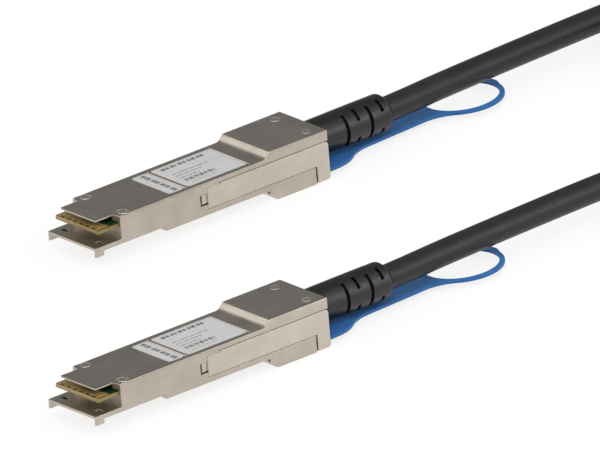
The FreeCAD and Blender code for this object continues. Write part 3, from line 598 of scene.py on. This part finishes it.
class CABLE_OT_castings(bpy.types.Operator):
    """Makes each plug's lower and upper castings, with rounded edges"""

    bl_idname = "cable.castings"
    bl_label = "Castings"

    # Rounding of the long edges that catch the light, in metres
    LONG_EDGE = 0.00014
    # In the plug's own millimetres: the sides of the upper and the lower casting, the higher part of the
    # seam between them, and the top of the cover's low part with the foot of its slope
    UPPER_SIDE = 9.095
    LOWER_SIDE = 9.175
    SEAM_FRONT, SEAM_HEIGHT = 38, 7.3
    LOW_TOP = 8.5
    SLOPE_FOOT = 55.6
    # The two pockets beside the nose: how far back they go and the height of their floor. The gussets
    # behind them: how far back, down and out they go.
    POCKET_REAR, POCKET_FLOOR = 5, 2.0
    GUSSET_REAR, GUSSET_FOOT, GUSSET_SIDE = 12, 6.3, 8.4
    # The fillet at the slope's foot: its radius, its reach forward, back and up, and half its width
    FILLET_RADIUS = 2.1
    FILLET_FRONT, FILLET_REAR, FILLET_RISE = 1.33, 0.57, 1.2
    FILLET_SIDE = 9.0
    # The slanting walls at the rear ends of the two label recesses: places, size and half their width
    LIP_ENDS = (31.05, 51.25)
    LIP = 0.1
    LIP_SIDE = 7.7

    def slope_fillet(self, plug):
        """The hollow rounding where the cover starts to rise: a bar with a round side cut out of it."""
        front, rear = self.SLOPE_FOOT - self.FILLET_FRONT, self.SLOPE_FOOT + self.FILLET_REAR
        bar = small_box(
            plug + "_slope_fillet",
            at(plug, front, -self.FILLET_SIDE, self.LOW_TOP - 0.05),
            at(plug, rear, self.FILLET_SIDE, self.LOW_TOP + self.FILLET_RISE))
        bpy.ops.object.select_all(action="DESELECT")
        bpy.ops.mesh.primitive_cylinder_add(
            vertices=128, radius=self.FILLET_RADIUS * MM, depth=24 * MM, rotation=(math.pi / 2, 0, 0),
            location=at(plug, front, 0, self.LOW_TOP + self.FILLET_RADIUS))
        round_side = named("round_side")
        place_applied(round_side)
        carve(bar, round_side)
        bpy.ops.object.shade_smooth_by_angle(angle=math.radians(30))
        return bar

    def label_lips(self, plug):
        """The lit slanting wall at the rear of each label's recess: a bar without its front top edge."""
        lips = []
        for end in self.LIP_ENDS:
            lip = small_box("lip", at(plug, end - self.LIP, -self.LIP_SIDE, self.LOW_TOP - self.LIP),
                            at(plug, end, self.LIP_SIDE, self.LOW_TOP))
            middle = at(plug, end - self.LIP / 2, 0, self.LOW_TOP - self.LIP / 2)
            nudge(lip, lambda p: p.x < middle.x and p.z > middle.z, (self.LIP * MM, 0, 0))
            edit_all()
            bpy.ops.mesh.remove_doubles(threshold=WELD)
            bpy.ops.object.mode_set(mode="OBJECT")
            lips.append(lip)
        return joined(lips, plug + "_label_lips")

    def on_long_edge(self, plug, point):
        """On the cover's long top edges, low part, slope and raised part alike."""
        place = within(plug, point)
        return abs(abs(place.y) - self.UPPER_SIDE) < 0.05 and place.z > self.LOW_TOP - 0.05

    def on_rear_seam(self, plug, point):
        """On the lower casting's edge along the seam's higher, rear part."""
        place = within(plug, point)
        at_side = abs(abs(place.y) - self.LOWER_SIDE) < 0.03
        return at_side and abs(place.z - self.SEAM_HEIGHT) < 0.02 and place.x > self.SEAM_FRONT

    def in_pocket(self, plug, side, point, normal):
        """On the floor of the nose pocket on one side, or on the front of that side's gusset, where shade
        is painted on.
        """
        place = within(plug, point)
        pocket = normal.z > 0.9 and place.x < self.POCKET_REAR and abs(place.z - self.POCKET_FLOOR) < 0.1
        gusset = (normal.x < -0.9 and place.x < self.GUSSET_REAR and place.z > self.GUSSET_FOOT
                  and abs(place.y) < self.GUSSET_SIDE)
        return place.y * side > 0 and (pocket or gusset)

    def execute(self, context):
        edge = context.scene.cable_sizes.casting_edge
        for plug in PLUGS:
            shell = welded_copy(plug + "_bottom_shell", plug + "_lower_casting")
            round_along(shell, lambda p: self.on_rear_seam(plug, p), self.LONG_EDGE)
            soften(shell, edge)
            settle(shell, FIXED, plug + "_bottom_shell", look="nickel_casting", slot="cast_housing")
            # Painted shade: the far nose pocket's floor and gusset front get nearly black nickel, the
            # near ones dimmed nickel
            paint_faces(shell, "painted_dark_shade_casting", lambda p, n: self.in_pocket(plug, 1, p, n))
            paint_faces(shell, "painted_half_shade_casting", lambda p, n: self.in_pocket(plug, -1, p, n))
            cover = welded_copy(plug + "_top_cover", plug + "_upper_casting")
            round_along(cover, lambda p: self.on_long_edge(plug, p), self.LONG_EDGE)
            soften(cover, edge)
            settle(cover, FIXED, plug + "_top_cover", look="nickel_casting", slot="cast_housing")
            settle(self.slope_fillet(plug), FIXED, look="nickel_casting", slot="cast_housing")
            # The label lips take the brighter, glossier nickel of the peened heads as a painted
            # highlight, on top of the light their slant really catches
            settle(self.label_lips(plug), FIXED, look="peened_nickel_and_painted_highlight", slot="cast_housing")
        return {"FINISHED"}


class CABLE_OT_stud_heads(bpy.types.Operator):
    """Makes the peened heads of the four studs in each cover"""

    bl_idname = "cable.stud_heads"
    bl_label = "Stud heads"

    # In the plug's own millimetres: the feet of a front and a rear head, which are mirrored to the other
    # side, their radius, and their outline as rises with shares of that radius
    STUDS = ((10.9, 7.2, 8.3), (71.2, 6.0, 10.0))
    RADIUS = 1.25
    OUTLINE = ((0.0, 1.0), (0.11, 0.99), (0.19, 0.94), (0.235, 0.86), (0.23, 0.76), (0.19, 0.62),
               (0.15, 0.44), (0.13, 0.26), (0.125, 0.08))

    def execute(self, context):
        stations = [(rise * MM, share * self.RADIUS * MM) for rise, share in self.OUTLINE]
        for plug in PLUGS:
            heads = []
            for x, y, z in self.STUDS:
                for side in (-1, 1):
                    heads.append(turned("head", at(plug, x, side * y, z), "Z", stations, 32))
            whole = joined(heads, plug + "_stud_heads")
            bpy.ops.object.shade_smooth_by_angle(angle=math.radians(60))
            settle(whole, FIXED, look="peened_nickel_and_painted_highlight", slot="cast_housing")
        return {"FINISHED"}


class CABLE_OT_sliders(bpy.types.Operator):
    """Makes each stamped release slider and the rivets that hold its strap"""

    bl_idname = "cable.sliders"
    bl_label = "Release sliders"

    def execute(self, context):
        edge = context.scene.cable_sizes.sheet_edge
        for plug in PLUGS:
            slider = welded_copy(plug + "_release_slider", plug + "_slider_sheet")
            soften(slider, edge)
            settle(slider, plug + "_release", plug + "_release_slider",
                   look="nickel_sheet", slot="slider_steel")
            pins = welded_copy(plug + "_tab_rivets", plug + "_strap_rivets")
            soften(pins, width=0.00006, angle=50)
            settle(pins, plug + "_release", plug + "_tab_rivets",
                   look="peened_nickel_and_painted_highlight", slot="rivet_steel")
        return {"FINISHED"}


class CABLE_OT_springs(bpy.types.Operator):
    """Winds the two return springs of each plug from round wire"""

    bl_idname = "cable.springs"
    bl_label = "Return springs"

    # In the plug's own millimetres: where a spring starts and ends, its distance from the plug's middle,
    # its height and its outside radius
    FRONT, REAR = 60.7, 68.6
    ASIDE, HEIGHT = 7.345, 4.4
    OUTSIDE = 0.95
    TURNS = 5
    STEPS = 28
    # The share of its length that a spring keeps with the slider pulled right back
    KEPT = 0.74

    def spring(self, plug, side, wire):
        """One spring: a round wire end wound about the spring's own line and closed at both ends."""
        length = (self.REAR - self.FRONT) * MM - wire
        bpy.ops.object.select_all(action="DESELECT")
        bpy.ops.mesh.primitive_circle_add(vertices=10, radius=wire / 2, rotation=(math.pi / 2, 0, 0))
        spring = named("spring")
        spring.location = (0, 0, self.OUTSIDE * MM - wire / 2)
        place_applied(spring)
        wind = spring.modifiers.new("Wind", "SCREW")
        wind.axis = "X"
        wind.angle = 2 * math.pi
        wind.screw_offset = length / self.TURNS
        wind.iterations = self.TURNS
        wind.steps = wind.render_steps = self.STEPS
        bpy.ops.object.modifier_apply(modifier=wind.name)
        start = at(plug, self.FRONT, side * self.ASIDE, self.HEIGHT)
        spring.location = start + Vector((wire / 2, 0, 0))
        place_applied(spring)
        edit_all()
        bpy.ops.mesh.fill_holes(sides=12)
        face_outward()
        return spring

    def execute(self, context):
        wire = context.scene.cable_sizes.spring_wire
        for plug in PLUGS:
            springs = [self.spring(plug, side, wire) for side in (-1, 1)]
            whole = joined(springs, plug + "_spring_coils")
            bpy.ops.object.shade_smooth_by_angle(angle=math.radians(50))
            settle(whole, FIXED, plug + "_return_springs", look="spring_wire", slot="spring_steel")
            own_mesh(whole)
        return {"FINISHED"}


class CABLE_OT_straps(bpy.types.Operator):
    """Makes each soft pull tab with its oval finger loop"""

    bl_idname = "cable.straps"
    bl_label = "Pull tabs"

    # The strap turns by this angle at its root, and its loop's oval lies this far from there, in the
    # plug's own millimetres
    TURN = math.radians(3.6)
    ROOT = (73.3, 0, 0)
    LOOP = (54.6, 0, 0)
    LONG_RADIUS, SHORT_RADIUS = 11.4, 10.3
    # How far the loop's rim stands out past the plain oval, in mm, at angles from its far end
    HEAVY_RIM = ((-14, 0.0), (4, 0.9), (40, 0.9), (85, 0.0))
    # How far its strand grows inwards, in mm
    THICKER = 0.25

    def heavy_rim(self, angle):
        """How far the rim stands out at an angle, eased from one given value to the next."""
        for (start, low), (end, high) in zip(self.HEAVY_RIM, self.HEAVY_RIM[1:]):
            if start <= angle <= end:
                share = (angle - start) / (end - start)
                return low + (high - low) * share * share * (3 - 2 * share)
        return 0.0

    def thicken_loop(self, plug, strap):
        """Widens the loop's strand inwards all round, and outwards at its heavier far corner."""
        turn = Matrix.Rotation(self.TURN, 3, "Z")
        centre = Vector(self.ROOT) + turn @ Vector(self.LOOP)
        for vertex in strap.data.vertices:
            place = turn.inverted() @ (within(plug, vertex.co) - centre)
            reach = Vector((place.x / self.LONG_RADIUS, place.y / self.SHORT_RADIUS)).length
            if reach > 1.02:
                continue
            if reach > 0.96:
                grow = self.heavy_rim(math.degrees(math.atan2(place.y, place.x)))
            else:
                grow = -self.THICKER
            vertex.co += turn @ Vector((place.x, place.y, 0)).normalized() * grow * MM

    def execute(self, context):
        edge = context.scene.cable_sizes.strap_edge
        for plug in PLUGS:
            strap = welded_copy(plug + "_pull_tab", plug + "_strap")
            self.thicken_loop(plug, strap)
            soften(strap, edge, segments=3)
            settle(strap, plug + "_release", plug + "_pull_tab",
                   look="strap_plastic", slot="tab_plastic")
        return {"FINISHED"}


class CABLE_OT_boots(bpy.types.Operator):
    """Makes each round boot with its rings of slots"""

    bl_idname = "cable.boots"
    bl_label = "Strain boots"

    # In the plug's own millimetres: where the boot starts inside the casting, the cable's height there,
    # the boot's length and its first ring of slots
    FRONT = 68.2
    CABLE_HEIGHT = 4.63
    LENGTH = 32.4
    FIRST_SLOT = 85.5
    # The bar that cuts a slot: its middle's distance from the cable's middle, and its thickness
    SLOT_RADIUS, SLOT_DEPTH = 4.6, 1.8
    # The rings of slots in turn, each with its arcs as angles from the top
    RINGS = 4
    ARCS = (((27, 153), (-153, -27)), ((18, 63), (117, 162), (-63, -18), (-162, -117)))
    # The boot's waist, where it leaves the casting and starts to swell, and how much it swells in all
    WAIST = ((7.3, 0.0), (8.2, 0.1))
    SWELL = 0.22
    # The thin lip after the shoulder: how far from the boot's end, and how far outside the cable
    LIP = ((0.5, 0.3), (0.3, 0.16), (0.0, 0.06))
    SHOULDER_STEPS = 8

    def stations(self, sizes):
        """The boot's radii along its length: straight, swelling, then a shoulder and a thin lip."""
        length, swell = self.LENGTH * MM, sizes.boot_radius + self.SWELL * MM
        cable = sizes.cable_diameter / 2
        found = [(0, sizes.boot_radius)]
        found += [(x * MM, sizes.boot_radius + more * MM) for x, more in self.WAIST]
        found += [(0.7 * length, swell), (length - sizes.boot_shoulder, swell)]
        lip_start, lip = self.LIP[0][0] * MM, cable + self.LIP[0][1] * MM
        for i in range(1, self.SHOULDER_STEPS + 1):
            angle = math.pi / 2 * i / self.SHOULDER_STEPS
            back = (sizes.boot_shoulder - lip_start) * (1 - math.sin(angle))
            fall = (swell - lip) * (1 - math.cos(angle))
            found.append((length - lip_start - back, swell - fall))
        found += [(length - back * MM, cable + more * MM) for back, more in self.LIP[1:]]
        return found

    def slot_cutter(self, centre, width, low, high):
        """A curved bar that cuts one slot between two angles: a narrow face spun about the cable."""
        bpy.ops.object.select_all(action="DESELECT")
        bpy.ops.mesh.primitive_plane_add(size=1, rotation=(math.pi / 2, 0, 0))
        bar = named("slot_bar")
        bar.scale = (width, self.SLOT_DEPTH * MM, 1)
        bar.location = (0, 0, self.SLOT_RADIUS * MM)
        place_applied(bar)
        edit_all()
        bpy.ops.mesh.spin(steps=24, angle=math.radians(high - low), center=(0, 0, 0), axis=(1, 0, 0))
        face_outward()
        bar.rotation_euler = (math.radians(high), 0, 0)
        bar.location = centre
        place_applied(bar)
        return bar

    def execute(self, context):
        sizes = context.scene.cable_sizes
        for plug in PLUGS:
            origin = at(plug, self.FRONT, 0, self.CABLE_HEIGHT)
            boot = turned(plug + "_boot", origin, "X", self.stations(sizes), 72)
            cutters = []
            for i in range(self.RINGS):
                centre = at(plug, self.FIRST_SLOT + i * sizes.slot_pitch / MM, 0, self.CABLE_HEIGHT)
                for low, high in self.ARCS[i % 2]:
                    cutters.append(self.slot_cutter(centre, sizes.slot_width, low, high))
            carve(boot, joined(cutters, "slot_cutter"))
            soften(boot, width=0.0001, angle=45)
            settle(boot, FIXED, plug + "_strain_boot", look="boot_plastic", slot="boot_plastic")
        return {"FINISHED"}


class CABLE_OT_boards(bpy.types.Operator):
    """Makes each paddle card: bare board, green lacquer, gold fingers and the parts on it"""

    bl_idname = "cable.boards"
    bl_label = "Paddle cards"

    # In the plug's own millimetres: the contacts' pitch, how far the signal contacts stand back, and a
    # line that only the contacts' front ends lie before
    PITCH = 0.8
    SET_BACK = 0.8
    FRONT_ENDS = 3.5
    # The lacquer's front and rear, half its width, its two undersides and its thickness
    LACQUER_FRONT, LACQUER_REAR, LACQUER_SIDE = 6.3, 30.8, 8.0
    LACQUER_HEIGHTS = (6.33, 5.30)
    LACQUER = 0.03
    # The pieces that are dressed as they were packed: node, look and slot
    OTHERS = (
        ("memory_chip", "chip_body", "chip_body"),
        ("chip_capacitors", "ceramic", "ceramic_chip"),
        ("wire_block", "black_moulding", "moulding"),
        ("twinax_pairs", "pair_foil", "pair_shield"),
        ("crimp_ferrule", "ferrule_brass", "ferrule_brass"),
        ("jacket_end", "cable_jacket", "cable_jacket"),
    )

    def stands_back(self, plug, point):
        """At the front end of one of the two signal contacts between each pair of ground contacts."""
        place = within(plug, point)
        return place.x < self.FRONT_ENDS and round(place.y / self.PITCH) % 3 != 0

    def execute(self, context):
        for plug in PLUGS:
            board = welded_copy(plug + "_paddle_card", plug + "_board")
            soften(board, width=0.00006)
            settle(board, FIXED, plug + "_paddle_card", look="board_edge", slot="circuit_board")
            paint_faces(board, "board_face", lambda p, n: abs(n.z) > 0.9)
            lacquer = [
                small_box("lacquer", at(plug, self.LACQUER_FRONT, -self.LACQUER_SIDE, low),
                          at(plug, self.LACQUER_REAR, self.LACQUER_SIDE, low + self.LACQUER))
                for low in self.LACQUER_HEIGHTS
            ]
            settle(joined(lacquer, plug + "_lacquer"), FIXED, look="solder_mask", slot="circuit_board")
            fingers = welded_copy(plug + "_contact_pads", plug + "_fingers")
            nudge(fingers, lambda p: self.stands_back(plug, p), (self.SET_BACK * MM, 0, 0))
            soften(fingers, width=0.000015, segments=1)
            settle(fingers, FIXED, plug + "_contact_pads", look="contact_gold", slot="gold_contact")
            for node, look, slot in self.OTHERS:
                part = welded_copy("%s_%s" % (plug, node), "%s_%s_dressed" % (plug, node))
                soften(part, width=0.00004, angle=50)
                settle(part, FIXED, "%s_%s" % (plug, node), look=look, slot=slot)
        return {"FINISHED"}


class CABLE_OT_labels(bpy.types.Operator):
    """Makes the two blank labels of each cover, with plain printed bars"""

    bl_idname = "cable.labels"
    bl_label = "Labels"

    # The top of the labels and the thickness of the print, in the plug's own millimetres
    TOP = 8.48
    INK = 0.008
    # The large label's rows: their front and rear, their two sides, the bars' lengths in turn and the
    # space between them
    ROWS = (
        (34.1, 48.0, 5.1, 6.3, (1.3, 0.8, 0.9, 0.6, 1.2, 0.9, 0.8), 0.3),
        (34.2, 46.5, 1.25, 1.55, (1.1, 0.5, 1.6, 0.8, 0.4), 0.2),
        (34.2, 42.8, -0.25, 0.05, (0.6, 1.4, 0.9, 0.5), 0.2),
        (34.1, 40.8, -1.9, -1.6, (1.5, 0.6, 1.0), 0.2),
        (34.2, 44.2, -4.4, -2.9, (0.5, 0.2, 0.7, 0.3, 0.2, 0.5, 0.2, 0.9), 0.22),
        (34.6, 43.2, -5.75, -5.5, (0.5, 0.9, 0.4), 0.3),
    )

    # The small label's one row, which runs across the plug: its front and rear, where it starts, and the
    # number of its bars, their lengths in turn and the spaces after them
    COLUMN_FRONT, COLUMN_REAR, COLUMN_START = 28.0, 29.3, 6.6
    COLUMN_BARS = 11
    COLUMN_LENGTHS = (0.9, 0.7, 1.0, 0.6)
    COLUMN_SPACES = (0.25, 0.3, 0.8)

    def bar(self, plug, front, rear, low, high):
        """One printed bar on a label."""
        return small_box("bar", at(plug, front, low, self.TOP),
                         at(plug, rear, high, self.TOP + self.INK))

    def large_print(self, plug):
        """The large label's rows of bars."""
        bars = []
        for x, end, low, high, lengths, space in self.ROWS:
            i = 0
            while x + lengths[i % len(lengths)] < end:
                length = lengths[i % len(lengths)]
                bars.append(self.bar(plug, x, x + length, low, high))
                x += length + space * (1 + i % 2)
                i += 1
        return bars

    def small_print(self, plug):
        """The small label's row of bars."""
        bars, y = [], self.COLUMN_START
        for i in range(self.COLUMN_BARS):
            length = self.COLUMN_LENGTHS[i % len(self.COLUMN_LENGTHS)]
            bars.append(self.bar(plug, self.COLUMN_FRONT, self.COLUMN_REAR, y - length, y))
            y -= length + self.COLUMN_SPACES[i % len(self.COLUMN_SPACES)]
        return bars

    def execute(self, context):
        for plug in PLUGS:
            for word in ("large", "small"):
                node = "%s_%s_label" % (plug, word)
                label = welded_copy(node, node + "_stock")
                soften(label, width=0.00002, segments=1)
                settle(label, FIXED, node, look="label_stock", slot="label_paper")
            bars = self.large_print(plug) + self.small_print(plug)
            settle(joined(bars, plug + "_label_bars"), FIXED, look="label_print", slot="label_paper")
        return {"FINISHED"}


class CABLE_OT_studio(bpy.types.Operator):
    """Adds the pale floor, the soft lights, the reflected cards and the white surroundings"""

    bl_idname = "cable.studio"
    bl_label = "Studio"

    # The floor's size in metres and how far it lies under the object
    FLOOR_SIZE = 8
    FLOOR_DROP = 0.00005
    # How brightly the floor glows for the camera, and its own grey in the light
    FLOOR_GLOW = 0.8
    FLOOR_GREY = (0.22, 0.22, 0.22, 1)

    def lamp(self, name, place, size, power):
        """A square soft light that faces the cable."""
        data = bpy.data.lights.new(name, "AREA")
        data.shape = "SQUARE"
        data.size = size
        data.energy = power
        lamp = bpy.data.objects.new(name, data)
        bpy.context.scene.collection.objects.link(lamp)
        lamp.location = place
        lamp.rotation_euler = (-Vector(place)).to_track_quat("-Z", "Y").to_euler()

    def card(self, name, place, width, height, colour):
        """A card that only gloss shows, so that it casts no shadow and adds no light."""
        bpy.ops.object.select_all(action="DESELECT")
        bpy.ops.mesh.primitive_plane_add(size=1)
        card = named(name)
        card.scale = (width, height, 1)
        card.rotation_euler = (-Vector(place)).to_track_quat("Z", "Y").to_euler()
        card.location = place
        place_applied(card)
        material, shader, nodes, link = new_material(name)
        shader.inputs["Base Color"].default_value = (0, 0, 0, 1)
        shader.inputs["Specular IOR Level"].default_value = 0
        shader.inputs["Emission Color"].default_value = (*colour, 1)
        shader.inputs["Emission Strength"].default_value = 1
        use(card, material)
        card.visible_camera = card.visible_diffuse = card.visible_shadow = False

    def unseen_light(self, nodes, link):
        """One for rays from the camera and from gloss or glass, nothing for the rest."""
        seen = nodes.new("ShaderNodeLightPath")
        total = seen.outputs["Is Camera Ray"]
        for name in ("Is Glossy Ray", "Is Transmission Ray"):
            add = nodes.new("ShaderNodeMath")
            add.use_clamp = True
            link(total, add.inputs[0])
            link(seen.outputs[name], add.inputs[1])
            total = add.outputs[0]
        return total

    def surroundings(self, scene):
        """White where the camera, gloss and glass look, grey for the light."""
        world = bpy.data.worlds.new("studio")
        scene.world = world
        world.use_nodes = True
        nodes, link = world.node_tree.nodes, world.node_tree.links.new
        mix = nodes.new("ShaderNodeMix")
        mix.data_type = "RGBA"
        mix.inputs["A"].default_value = (0.75, 0.75, 0.76, 1)
        mix.inputs["B"].default_value = (1, 1, 1, 1)
        link(self.unseen_light(nodes, link), mix.inputs["Factor"])
        link(mix.outputs["Result"], nodes["Background"].inputs["Color"])

    def floor_material(self):
        """A floor that looks white and still takes the object's shadow."""
        material, shader, nodes, link = new_material("floor")
        shader.inputs["Base Color"].default_value = self.FLOOR_GREY
        shader.inputs["Roughness"].default_value = 1.0
        shader.inputs["Specular IOR Level"].default_value = 0
        shader.inputs["Emission Color"].default_value = (1, 1, 1, 1)
        glow = nodes.new("ShaderNodeMath")
        glow.operation = "MULTIPLY"
        glow.inputs[1].default_value = self.FLOOR_GLOW
        link(self.unseen_light(nodes, link), glow.inputs[0])
        link(glow.outputs[0], shader.inputs["Emission Strength"])
        return material

    def execute(self, context):
        bpy.ops.object.select_all(action="DESELECT")
        bpy.ops.mesh.primitive_plane_add(size=self.FLOOR_SIZE, location=(0, 0, -self.FLOOR_DROP))
        floor = named("floor")
        place_applied(floor)
        use(floor, self.floor_material())
        self.surroundings(context.scene)
        self.card("dark_card", place=(0.75, 0.78, 0.95), width=2.6, height=2.5,
                  colour=(0.232, 0.242, 0.257))
        self.card("pale_card", place=(-0.75, 0.9, 0.62), width=0.9, height=1.2,
                  colour=(1.35, 1.35, 1.33))
        self.lamp("key", place=(-0.6, -0.8, 1.2), size=0.9, power=6)
        self.lamp("side", place=(0.62, -0.8, 0.42), size=0.4, power=1.9)
        context.scene.view_settings.view_transform = "Standard"
        return {"FINISHED"}


OPERATORS = (
    CABLE_OT_camera,
    CABLE_OT_cable,
    CABLE_OT_castings,
    CABLE_OT_stud_heads,
    CABLE_OT_sliders,
    CABLE_OT_springs,
    CABLE_OT_straps,
    CABLE_OT_boots,
    CABLE_OT_boards,
    CABLE_OT_labels,
    CABLE_OT_studio,
)


class CABLE_PT_pieces(bpy.types.Panel):
    """Lists the cable's sizes, colours and pieces"""

    bl_idname = "CABLE_PT_pieces"
    bl_label = "Direct Attach Cable"
    bl_space_type = "VIEW_3D"
    bl_region_type = "UI"
    bl_category = "Cable"

    def draw(self, context):
        for group in (context.scene.cable_sizes, context.scene.cable_colours):
            column = self.layout.column(align=True)
            for name in group.bl_rna.properties.keys():
                if name not in ("rna_type", "name"):
                    column.prop(group, name)
        for operator in OPERATORS:
            self.layout.operator(operator.bl_idname)


CLASSES = (CableSizes, CableColours, *OPERATORS, CABLE_PT_pieces)


def register():
    """Registers the classes and the settings on the scene."""
    for item in CLASSES:
        bpy.utils.register_class(item)
    bpy.types.Scene.cable_sizes = PointerProperty(type=CableSizes)
    bpy.types.Scene.cable_colours = PointerProperty(type=CableColours)


def unregister():
    """Takes the settings and the classes away again."""
    del bpy.types.Scene.cable_colours
    del bpy.types.Scene.cable_sizes
    for item in reversed(CLASSES):
        bpy.utils.unregister_class(item)


def main():
    """Builds the whole scene."""
    register()
    for operator in OPERATORS:
        group, name = operator.bl_idname.split(".")
        getattr(getattr(bpy.ops, group), name)()


if __name__ == "__main__":
    main()
